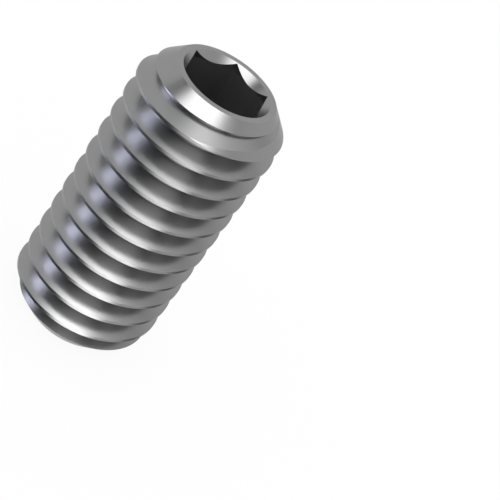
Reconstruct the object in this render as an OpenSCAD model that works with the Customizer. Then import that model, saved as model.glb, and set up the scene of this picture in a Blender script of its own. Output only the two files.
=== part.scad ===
// Hexagon-socket set screw, M5 x 0.8, 10 mm long, with a cup point.
// It stands on its cup point at z = 0, with the socket upwards and its axis on Z.

/* [Thread] */
// Diameter over the thread crests, a little under the nominal 5 as a cut thread is
thread_d = 4.88; // [4.6:0.01:5.6]
// Distance along the axis from one crest to the next
pitch = 0.8; // [0.6:0.05:1.0]
// Angle between the two flanks of the groove
thread_angle = 60; // [55:1:65]
// Width of the flat on each crest
crest_w = 0.1; // [0.06:0.01:0.14]
// Width of the flat at the root of the groove
root_w = 0.06; // [0.04:0.01:0.14]
// Direction from the axis in which the middle of the groove meets the cup end
thread_start = -33; // [-180:1:180]

/* [Ends] */
// Length of the screw from the cup rim to the socket face
screw_l = 10; // [8:0.5:25]
// Angle of the bevel at both ends, from the flat face
bevel_angle = 45; // [30:1:55]
// Outer diameter of the flat ring around the socket
socket_face_d = 3.35; // [3.3:0.01:3.6]
// Outer diameter of the flat rim around the cup
cup_face_d = 3.38; // [3.3:0.01:3.6]

/* [Hex socket] */
// Distance across the flats of the socket
socket_af = 2.5; // [2:0.05:2.6]
// Depth of the flats below the socket face
socket_depth = 3; // [2:0.1:4]
// Reach of the lead-in cone past the corners of the hexagon
mouth_gap = 0.015; // [0.01:0.005:0.05]
// Angle of the lead-in cone, side to side
mouth_angle = 80; // [60:1:110]
// Angle of the drilled bottom of the socket, side to side
drill_angle = 120; // [100:1:140]
// Width of the flat ledge between the drilled bottom and the flats of the socket
drill_ledge = 0.05; // [0.02:0.01:0.15]

/* [Cup point] */
// Diameter of the cup at its rim
cup_d = 2.8; // [2.2:0.05:3.2]
// Depth of the dished cup
cup_depth = 0.7; // [0.3:0.02:0.9]

/* [Hidden] */

// Overrun of every cut past the surface that it opens
overrun = 0.05;
// Straight facets in one turn of the groove
turn_sides = 72;
// Sides of the round surfaces
round_sides = 96;

thread_r = thread_d / 2;
flank_run = tan(thread_angle / 2);
thread_depth = (pitch - crest_w - root_w) / 2 / flank_run;
root_r = thread_r - thread_depth;

// The groove is cut past the crest by a margin that keeps its turns apart
groove_r = thread_r + crest_w / 4 / flank_run;
groove_w = root_w + 2 * (groove_r - root_r) * flank_run;
groove_profile = [
    [root_r, -root_w / 2],
    [groove_r, -groove_w / 2],
    [groove_r, groove_w / 2],
    [root_r, root_w / 2]
];
groove_step = 360 / turn_sides;
groove_steps = ceil((screw_l / pitch + 1) * turn_sides);

socket_face_r = socket_face_d / 2;
cup_face_r = cup_face_d / 2;
socket_bevel_h = (thread_r - socket_face_r) * tan(bevel_angle);
cup_bevel_h = (thread_r - cup_face_r) * tan(bevel_angle);

hex_r = socket_af / 2 / cos(30);
mouth_r = hex_r + mouth_gap;
mouth_h = mouth_r / tan(mouth_angle / 2);
mouth_rise = overrun * tan(mouth_angle / 2);
drill_r = socket_af / 2 - drill_ledge;
drill_h = drill_r / tan(drill_angle / 2);

cup_r = cup_d / 2;
cup_ball_r = (cup_r * cup_r + cup_depth * cup_depth) / (2 * cup_depth);

// One cross-section of the groove, at step i along its helix
function groove_ring(i) =
    let (turn = i * groove_step - 180, a = turn + thread_start)
    [for (p = groove_profile) [p[0] * cos(a), p[0] * sin(a), pitch * turn / 360 + p[1]]];

// Two triangles between side k of section i and the same side of the next section
function groove_side(i, k) =
    let (a = 4 * i + k, b = 4 * i + (k + 1) % 4)
    [[a, b, a + 4], [b, b + 4, a + 4]];

module thread_groove() {
    points = [for (i = [0:groove_steps]) each groove_ring(i)];
    sides = [for (i = [0:groove_steps - 1], k = [0:3]) each groove_side(i, k)];
    last = 4 * groove_steps;
    ends = [[3, 2, 1, 0], [last, last + 1, last + 2, last + 3]];
    polyhedron(points = points, faces = concat(sides, ends), convexity = 20);
}

// Turned blank: a bar at crest diameter with a bevel at both ends
module blank() {
    rotate_extrude($fn = round_sides)
        polygon([
            [0, 0],
            [cup_face_r, 0],
            [thread_r, cup_bevel_h],
            [thread_r, screw_l - socket_bevel_h],
            [socket_face_r, screw_l],
            [0, screw_l]
        ]);
}

// Hexagonal socket with its drilled bottom and the lead-in cone at its mouth
module hex_socket() {
    translate([0, 0, screw_l - socket_depth]) {
        cylinder(h = socket_depth + overrun, r = hex_r, $fn = 6);
        rotate_extrude($fn = round_sides)
            polygon([[0, -drill_h], [drill_r, 0], [drill_r, overrun], [0, overrun]]);
    }
    translate([0, 0, screw_l - mouth_h])
        cylinder(h = mouth_h + overrun, r1 = 0, r2 = mouth_r + mouth_rise, $fn = round_sides);
}

// Dished cup, a shallow cap of a ball
module cup() {
    translate([0, 0, cup_depth - cup_ball_r])
        sphere(r = cup_ball_r, $fn = round_sides);
}

module grub_screw() {
    color("darkgray")
        difference() {
            blank();
            thread_groove();
            hex_socket();
            cup();
        }
}

grub_screw();
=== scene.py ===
# A hexagon-socket grub screw in satin steel, standing on its cup point.
import math

import bmesh
import bpy
from mathutils import Matrix, Vector


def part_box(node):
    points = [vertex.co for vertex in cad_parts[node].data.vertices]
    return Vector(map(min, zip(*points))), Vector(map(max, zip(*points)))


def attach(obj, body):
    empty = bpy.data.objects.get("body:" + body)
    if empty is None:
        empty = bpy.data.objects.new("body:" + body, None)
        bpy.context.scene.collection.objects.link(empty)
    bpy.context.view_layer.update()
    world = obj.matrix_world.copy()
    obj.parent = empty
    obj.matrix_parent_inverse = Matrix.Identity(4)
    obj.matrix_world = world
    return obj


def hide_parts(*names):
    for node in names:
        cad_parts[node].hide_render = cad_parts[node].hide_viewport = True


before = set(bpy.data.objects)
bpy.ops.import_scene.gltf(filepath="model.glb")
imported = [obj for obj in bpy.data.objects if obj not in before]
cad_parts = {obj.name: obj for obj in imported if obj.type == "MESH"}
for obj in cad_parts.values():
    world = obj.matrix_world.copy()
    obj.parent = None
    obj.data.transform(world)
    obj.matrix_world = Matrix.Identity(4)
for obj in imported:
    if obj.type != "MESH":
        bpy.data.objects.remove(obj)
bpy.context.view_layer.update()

mm = 0.001  # the scene is in metres, the sizes below are in millimetres
weldGap = 0.001 * mm  # corners nearer than this are one

bpy.context.scene.view_settings.view_transform = "Standard"
print("frame loaded")


# small helpers

def deselectAll():
    if bpy.context.object and bpy.context.object.mode != "OBJECT":
        bpy.ops.object.mode_set(mode="OBJECT")
    bpy.ops.object.select_all(action="DESELECT")


def pick(piece):
    deselectAll()
    piece.select_set(True)
    bpy.context.view_layer.objects.active = piece


def editMode(piece, selectMode):
    pick(piece)
    bpy.ops.object.mode_set(mode="EDIT")
    bpy.ops.mesh.select_mode(type=selectMode)
    bpy.ops.mesh.select_all(action="DESELECT")


def objectMode():
    bpy.ops.object.mode_set(mode="OBJECT")


def applyPlace(piece):
    pick(piece)
    bpy.ops.object.transform_apply(location=True, rotation=True, scale=True)


def applyModifier(piece, kind, **values):
    # adds one modifier with its settings and applies it at once
    modifier = piece.modifiers.new(kind.title(), kind)
    for key, value in values.items():
        setattr(modifier, key, value)
    pick(piece)
    bpy.ops.object.modifier_apply(modifier=modifier.name)


def cut(piece, tool, operation="DIFFERENCE"):
    applyPlace(tool)
    applyModifier(piece, "BOOLEAN", object=tool, operation=operation, solver="EXACT")
    bpy.data.objects.remove(tool)


def tangent(degrees):
    return math.tan(math.radians(degrees))


# grub screw, sizes in mm and degrees

screwSizes = {
    "pitch": 0.8,  # coarse M5 thread, right-handed
    "flankAngle": 60,  # between the two flanks of the groove
    "crestWidth": 0.1,
    "rootWidth": 0.06,
    "threadStart": -33,  # from +X to where the groove's middle meets the cup end
    "turnsBelow": 2,  # turns of thread swept past the cup end, before the ends are cut
    "turnsAbove": 1,  # and past the socket end
    "socketFace": 3.35,  # outer diameter of the flat ring round the socket
    "cupFace": 3.38,  # outer diameter of the flat rim round the cup
    "socketBevel": 47,  # angle of the bevel at the socket, from the flat ring
    "socketFlats": 2.5,  # across the flats of the hexagon
    "socketDepth": 3.0,  # to the end of the flats
    "socketSides": 6,
    "mouthGap": 0.015,  # reach of the lead-in cone past the hexagon's corners
    "mouthAngle": 80,
    "drillAngle": 120,
    "drillLedge": 0.05,  # flat step between the drilled bottom and the flats
    "cupWidth": 2.8,
    "cupDepth": 0.7,
    "roundSteps": 192,  # facets in one turn
    "cupRings": 96,
    "overrun": 0.1,  # how far a cut reaches past the surface that it opens
    "smoothAngle": 10.5,  # edges flatter than this are shaded smooth
}


def drawLine(name, points):
    # a single corner, extruded from point to point as a line of edges
    deselectAll()
    bpy.ops.mesh.primitive_plane_add(size=mm, location=points[0])
    line = bpy.context.object
    line.name = name
    bpy.ops.object.mode_set(mode="EDIT")
    bpy.ops.mesh.select_all(action="SELECT")
    bpy.ops.mesh.merge(type="CENTER")
    for start, end in zip(points, points[1:]):
        bpy.ops.mesh.extrude_region_move(TRANSFORM_OT_translate={"value": end - start})
    applyPlace(line)
    return line


def makeThread(s, radius, length):
    # one pitch of the thread's profile, swept up its helix past both ends of the screw
    pitch = s["pitch"] * mm
    crest = s["crestWidth"] * mm
    root = s["rootWidth"] * mm
    flank = (pitch - crest - root) / 2
    depth = flank / tangent(s["flankAngle"] / 2)
    inner = radius - depth
    low = -s["turnsBelow"] * pitch
    points = [
        Vector((inner, 0, low + root / 2)),
        Vector((radius, 0, low + root / 2 + flank)),
        Vector((radius, 0, low + root / 2 + flank + crest)),
        Vector((inner, 0, low + pitch - root / 2)),
        Vector((inner, 0, low + pitch + root / 2)),
    ]
    bar = drawLine("grubScrew", points)
    turns = math.ceil(length / pitch) + s["turnsBelow"] + s["turnsAbove"]
    applyModifier(bar, "SCREW", axis="Z", angle=2 * math.pi, screw_offset=pitch, iterations=turns,
                  steps=s["roundSteps"], render_steps=s["roundSteps"], use_smooth_shade=True)
    bar.rotation_euler.z = math.radians(s["threadStart"])
    applyPlace(bar)
    editMode(bar, "EDGE")
    bpy.ops.mesh.select_all(action="SELECT")
    bpy.ops.mesh.remove_doubles(threshold=weldGap)
    bpy.ops.mesh.select_all(action="DESELECT")
    bpy.ops.mesh.select_non_manifold(extend=False)
    bpy.ops.mesh.fill_holes(sides=0)
    bpy.ops.mesh.select_all(action="SELECT")
    bpy.ops.mesh.normals_make_consistent(inside=False)
    objectMode()
    return bar


def selectRing(piece, height):
    # the edges that lie flat at this height
    shell = bmesh.from_edit_mesh(piece.data)
    for edge in shell.edges:
        edge.select_set(all(abs(corner.co.z - height) < weldGap for corner in edge.verts))
    bmesh.update_edit_mesh(piece.data)


def makeBlank(s, radius, length):
    # a bar a little wider than the thread, bevelled at both ends down to the flat faces
    wide = radius + s["overrun"] * mm
    deselectAll()
    bpy.ops.mesh.primitive_cylinder_add(vertices=s["roundSteps"], radius=wide, depth=length,
                                        location=(0, 0, length / 2))
    blank = bpy.context.object
    applyPlace(blank)
    editMode(blank, "EDGE")
    for height, face in ((0, s["cupFace"]), (length, s["socketFace"])):
        bpy.ops.mesh.select_all(action="DESELECT")
        selectRing(blank, height)
        bpy.ops.mesh.bevel(offset=wide - face / 2 * mm, offset_type="OFFSET", segments=1, affect="EDGES")
    # both bevels are at 45 degrees so far, and the socket's is then made a little steeper
    run = wide - s["socketFace"] / 2 * mm
    bpy.ops.mesh.select_all(action="DESELECT")
    selectRing(blank, length - run)
    bpy.ops.transform.translate(value=(0, 0, run - run * tangent(s["socketBevel"])))
    objectMode()
    return blank


def addCone(s, tip, base, width):
    # a cone cut, from its tip at one height to its width at another
    deselectAll()
    bpy.ops.mesh.primitive_cone_add(vertices=s["roundSteps"], radius1=0, radius2=width,
                                    depth=base - tip, location=(0, 0, (tip + base) / 2))
    return bpy.context.object


def cutSocket(bar, s, length):
    # hexagon with two corners on X, its drilled bottom and the lead-in cone at its mouth
    halfSide = math.radians(180 / s["socketSides"])
    hexRadius = s["socketFlats"] / 2 / math.cos(halfSide) * mm
    floorHeight = length - s["socketDepth"] * mm
    overrun = s["overrun"] * mm
    deselectAll()
    bpy.ops.mesh.primitive_cylinder_add(vertices=s["socketSides"], radius=hexRadius,
                                        depth=length + overrun - floorHeight,
                                        location=(0, 0, (length + overrun + floorHeight) / 2),
                                        rotation=(0, 0, halfSide))
    cut(bar, bpy.context.object)
    drillSlope = tangent(s["drillAngle"] / 2)
    drillRadius = (s["socketFlats"] / 2 - s["drillLedge"]) * mm
    cut(bar, addCone(s, floorHeight - drillRadius / drillSlope, floorHeight, drillRadius))
    mouthRadius = hexRadius + s["mouthGap"] * mm
    mouthSlope = tangent(s["mouthAngle"] / 2)
    mouthTip = length - mouthRadius / mouthSlope
    cut(bar, addCone(s, mouthTip, length + overrun, mouthRadius + overrun * mouthSlope))


def cutCup(bar, s):
    # a shallow cap of a ball
    rim = s["cupWidth"] / 2 * mm
    depth = s["cupDepth"] * mm
    ballRadius = (rim * rim + depth * depth) / (2 * depth)
    deselectAll()
    bpy.ops.mesh.primitive_uv_sphere_add(segments=s["roundSteps"], ring_count=s["cupRings"],
                                         radius=ballRadius, location=(0, 0, depth - ballRadius))
    cut(bar, bpy.context.object)


def makeGrubScrew(s):
    low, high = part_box("grub_screw")
    radius = (high[0] - low[0]) / 2
    length = high[2] - low[2]
    bar = makeThread(s, radius, length)
    cut(bar, makeBlank(s, radius, length), "INTERSECT")
    cutSocket(bar, s, length)
    cutCup(bar, s)
    pick(bar)
    bpy.ops.object.shade_smooth_by_angle(angle=math.radians(s["smoothAngle"]))
    return bar


# materials

def hexColor(code):
    # sRGB hex to the linear values that a shader takes
    parts = [int(code[i:i + 2], 16) / 255 for i in (0, 2, 4)]
    return [p / 12.92 if p <= 0.04045 else ((p + 0.055) / 1.055) ** 2.4 for p in parts] + [1]


def addNode(tree, kind, settings=None, values=None, links=None):
    # sockets go by name, or by number where several share a name
    node = tree.nodes.new(kind)
    for key, value in (settings or {}).items():
        setattr(node, key, value)
    for key, value in (values or {}).items():
        node.inputs[key].default_value = value
    for key, source in (links or {}).items():
        tree.links.new(source, node.inputs[key])
    return node


steelFinish = {
    "color": "9A9A9A",  # plain grey steel
    "recessShadeColor": "868686",  # darker in the socket and the cup: painted shade in these recesses
    "edgeTint": 0.83,  # steel brightens less at its edges than most metals
    "roughness": 0.29,
    "roughnessSwing": 0.015,  # either way, from the turning marks and the blotches together
    "patternLow": 0.6,  # the range of the two patterns added up
    "patternHigh": 1.4,
    "turningGap": 0.09,  # mm between turning marks, drawn coarser than the real 0.02 so that they show
    "turningDetail": 2,
    "turningDepth": 0.00002,  # mm
    "blotchSize": 1.5,  # mm, slow change in how satin the steel is
    "blotchDetail": 3,
    "innerRoughness": 0.15,  # more for the broached socket and the cup
    "innerReach": 1.45,  # mm from the axis
    "innerTop": 9.75,  # mm, where the lead-in cone of the socket ends
}


def makeSteel(f):
    # Satin steel, turned and then tumbled: soft wide highlights, and turning lines round the axis
    # that are so fine that they only stir the gloss.
    material = bpy.data.materials.new("satinTurnedSteel")
    material.use_nodes = True
    tree = material.node_tree
    tree.nodes.clear()
    place = addNode(tree, "ShaderNodeTexCoord").outputs["Object"]
    split = addNode(tree, "ShaderNodeSeparateXYZ", links={0: place})
    flat = addNode(tree, "ShaderNodeCombineXYZ",
                   links={"X": split.outputs["X"], "Y": split.outputs["Y"]})
    reach = addNode(tree, "ShaderNodeVectorMath", {"operation": "LENGTH"}, links={0: flat.outputs[0]})
    around = addNode(tree, "ShaderNodeCombineXYZ",
                     links={"X": reach.outputs["Value"], "Z": split.outputs["Z"]})
    lines = addNode(tree, "ShaderNodeTexNoise",
                    values={"Scale": 1 / (f["turningGap"] * mm), "Detail": f["turningDetail"]},
                    links={"Vector": around.outputs[0]})
    blotch = addNode(tree, "ShaderNodeTexNoise",
                     values={"Scale": 1 / (f["blotchSize"] * mm), "Detail": f["blotchDetail"]},
                     links={"Vector": place})
    mixed = addNode(tree, "ShaderNodeMath", {"operation": "ADD"},
                    links={0: lines.outputs["Fac"], 1: blotch.outputs["Fac"]})
    rough = addNode(tree, "ShaderNodeMapRange",
                    values={"From Min": f["patternLow"], "From Max": f["patternHigh"],
                            "To Min": f["roughness"] - f["roughnessSwing"],
                            "To Max": f["roughness"] + f["roughnessSwing"]},
                    links={"Value": mixed.outputs[0]})
    inside = addNode(tree, "ShaderNodeMath", {"operation": "LESS_THAN"}, {1: f["innerReach"] * mm},
                     {0: reach.outputs["Value"]})
    below = addNode(tree, "ShaderNodeMath", {"operation": "LESS_THAN"}, {1: f["innerTop"] * mm},
                    {0: split.outputs["Z"]})
    inner = addNode(tree, "ShaderNodeMath", {"operation": "MULTIPLY"},
                    links={0: inside.outputs[0], 1: below.outputs[0]})
    rougher = addNode(tree, "ShaderNodeMath", {"operation": "MULTIPLY_ADD"}, {1: f["innerRoughness"]},
                      {0: inner.outputs[0], 2: rough.outputs[0]})
    bump = addNode(tree, "ShaderNodeBump", values={"Strength": 1, "Distance": f["turningDepth"] * mm},
                   links={"Height": lines.outputs["Fac"]})
    # painted shade: the steel gets a darker colour inside the socket and the cup
    steel = addNode(tree, "ShaderNodeMix", {"data_type": "RGBA"},
                    {6: hexColor(f["color"]), 7: hexColor(f["recessShadeColor"])},
                    {"Factor": inner.outputs[0]})
    tint = f["edgeTint"]
    shader = addNode(tree, "ShaderNodeBsdfPrincipled",
                     values={"Metallic": 1, "Specular Tint": (tint, tint, tint, 1)},
                     links={"Base Color": steel.outputs[2], "Roughness": rougher.outputs[0],
                            "Normal": bump.outputs[0]})
    addNode(tree, "ShaderNodeOutputMaterial", links={"Surface": shader.outputs[0]})
    return material


screw = makeGrubScrew(screwSizes)
screw.data.materials.clear()
screw.data.materials.append(makeSteel(steelFinish))
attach(screw, "root")
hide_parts("grub_screw")
print("grub screw made,", len(screw.data.polygons), "faces")


# floor

floorSizes = {
    "width": 2000,  # mm
    "white": 0.92,  # how much of the floor's colour is plain white, the rest takes the shadow
    "color": "FFFFFF",
}


def makeFloor(s):
    # White paper sweep: even white, with a soft shadow where the screw stands.
    deselectAll()
    bpy.ops.mesh.primitive_plane_add(size=s["width"] * mm)
    floor = bpy.context.object
    floor.name = "floor"
    material = bpy.data.materials.new("whitePaper")
    material.use_nodes = True
    tree = material.node_tree
    tree.nodes.clear()
    paper = addNode(tree, "ShaderNodeBsdfDiffuse", values={"Color": hexColor(s["color"])})
    glow = addNode(tree, "ShaderNodeEmission", values={"Color": hexColor(s["color"]), "Strength": 1})
    path = addNode(tree, "ShaderNodeLightPath")
    share = addNode(tree, "ShaderNodeMath", {"operation": "MULTIPLY"}, {1: s["white"]},
                    {0: path.outputs["Is Camera Ray"]})
    mix = addNode(tree, "ShaderNodeMixShader",
                  links={"Fac": share.outputs[0], 1: paper.outputs[0], 2: glow.outputs[0]})
    addNode(tree, "ShaderNodeOutputMaterial", links={"Surface": mix.outputs[0]})
    floor.data.materials.append(material)
    floor.visible_glossy = False
    return floor


makeFloor(floorSizes)
print("floor made")


# studio: a plain room with soft lights and dark cards, all far away

roomLevels = {
    "plain": 1.0,  # what the camera and matt surfaces see
    "steel": 0.8,  # what the steel sees between the panels
}

# azimuth and elevation of the middle, width, height, width of the soft edge and turn, in degrees,
# then the brightness and the colour
studioPanels = {
    "keySkirt": (-80, 53, 63, 18, 17, 9, 3.36, "FFFFFF"),
    "key": (-80, 73, 42, 17, 20, 9, 8.00, "FFFFFF"),
    "leftCard": (-140, 44, 22, 18, 6, -2, 0.00, "FFFFFF"),
    "strip": (-65, -12, 37, 17, 8, -4, 1.70, "FFFFFF"),
    "cool": (-141, -9, 24, 21, 14, -12, 14.00, "E4E7FF"),
    "lowCard": (-107, -41, 76, 62, 7, 36, 0.00, "FFFFFF"),
    "low": (-49, -48, 45, 23, 14, 7, 5.10, "FFFFFF"),
    "lowStrip": (-17, -18, 18, 34, 9, 7, 0.00, "FFFFFF"),
    "rightCard": (31, 47, 45, 12, 10, -10, 0.46, "FFFFFF"),
    "zenithCard": (178, 74, 29, 20, 13, 7, 0.19, "FFFFFF"),
    "sideCard": (30, -4, 38, 34, 12, 0, 0.32, "FFFFFF"),
    "sideTop": (66, 39, 24, 14, 10, 0, 0.56, "FFFFFF"),
    "sideLow": (52, -33, 26, 24, 8, 0, 0.08, "FFFFFF"),
}


def makeStudio(levels, panels):
    # each panel is laid over the room and the panels before it
    world = bpy.data.worlds.new("studio")
    bpy.context.scene.world = world
    world.use_nodes = True
    world.cycles.sampling_method = "NONE"  # the panels are wide enough for the reflections to find
    tree = world.node_tree
    tree.nodes.clear()
    look = addNode(tree, "ShaderNodeTexCoord").outputs["Generated"]
    room = addNode(tree, "ShaderNodeRGB").outputs[0]
    room.default_value = (levels["steel"], levels["steel"], levels["steel"], 1)
    for name, (azimuth, elevation, width, height, edge, turn, level, color) in panels.items():
        azimuth = math.radians(azimuth)
        elevation = math.radians(elevation)
        toPanel = Vector((math.cos(azimuth) * math.cos(elevation), math.sin(azimuth) * math.cos(elevation),
                          math.sin(elevation)))
        flat = Vector((-math.sin(azimuth), math.cos(azimuth), 0))
        side = Matrix.Rotation(math.radians(turn), 3, toPanel) @ flat
        ahead = addNode(tree, "ShaderNodeVectorMath", {"operation": "DOT_PRODUCT"}, {1: toPanel}, {0: look})
        covers = []
        for axis, size in ((side, width), (toPanel.cross(side), height)):
            across = addNode(tree, "ShaderNodeVectorMath", {"operation": "DOT_PRODUCT"}, {1: axis}, {0: look})
            aside = addNode(tree, "ShaderNodeMath", {"operation": "ABSOLUTE"},
                            links={0: across.outputs["Value"]})
            angle = addNode(tree, "ShaderNodeMath", {"operation": "ARCTAN2"},
                            links={0: aside.outputs[0], 1: ahead.outputs["Value"]})
            inner = math.radians(size - edge) / 2
            outer = math.radians(size + edge) / 2
            part = addNode(tree, "ShaderNodeMapRange", {"interpolation_type": "SMOOTHSTEP"},
                           {"From Min": inner, "From Max": outer, "To Min": 1, "To Max": 0},
                           {"Value": angle.outputs[0]})
            covers.append(part.outputs[0])
        cover = addNode(tree, "ShaderNodeMath", {"operation": "MULTIPLY"}, links={0: covers[0], 1: covers[1]})
        shade = [c * level for c in hexColor(color)[:3]]
        room = addNode(tree, "ShaderNodeMix", {"data_type": "VECTOR", "label": name}, {5: shade},
                       {"Factor": cover.outputs[0], 4: room}).outputs[1]
    path = addNode(tree, "ShaderNodeLightPath")
    even = addNode(tree, "ShaderNodeMath", {"operation": "MAXIMUM"},
                   links={0: path.outputs["Is Camera Ray"], 1: path.outputs["Is Diffuse Ray"]})
    plain = (levels["plain"], levels["plain"], levels["plain"])
    shown = addNode(tree, "ShaderNodeMix", {"data_type": "VECTOR"}, {5: plain},
                    {"Factor": even.outputs[0], 4: room})
    background = addNode(tree, "ShaderNodeBackground", values={"Strength": 1},
                         links={"Color": shown.outputs[1]})
    addNode(tree, "ShaderNodeOutputWorld", links={"Surface": background.outputs[0]})


makeStudio(roomLevels, studioPanels)
print("studio lit")


# camera, as the photograph was taken

cameraView = {
    "place": (16.986, -33.866, 29.607),  # mm
    "azimuth": 21.406,  # degrees
    "elevation": 32.141,
    "roll": 37.178,
    "lens": 104.99,  # mm
    "sensor": 36,  # mm wide
}


def makeCamera(v):
    data = bpy.data.cameras.new("camera")
    data.sensor_width = v["sensor"]
    data.lens = v["lens"]
    data.clip_start = mm
    camera = bpy.data.objects.new("camera", data)
    bpy.context.scene.collection.objects.link(camera)
    a = math.radians(v["azimuth"])
    e = math.radians(v["elevation"])
    back = Vector((math.sin(a) * math.cos(e), -math.cos(a) * math.cos(e), math.sin(e)))
    right = Vector((math.cos(a), math.sin(a), 0))
    level = Matrix((right, back.cross(right), back)).transposed()
    camera.matrix_world = (Matrix.Translation(Vector(v["place"]) * mm)
                           @ (level @ Matrix.Rotation(math.radians(v["roll"]), 3, "Z")).to_4x4())
    bpy.context.scene.camera = camera


makeCamera(cameraView)
print("camera set")
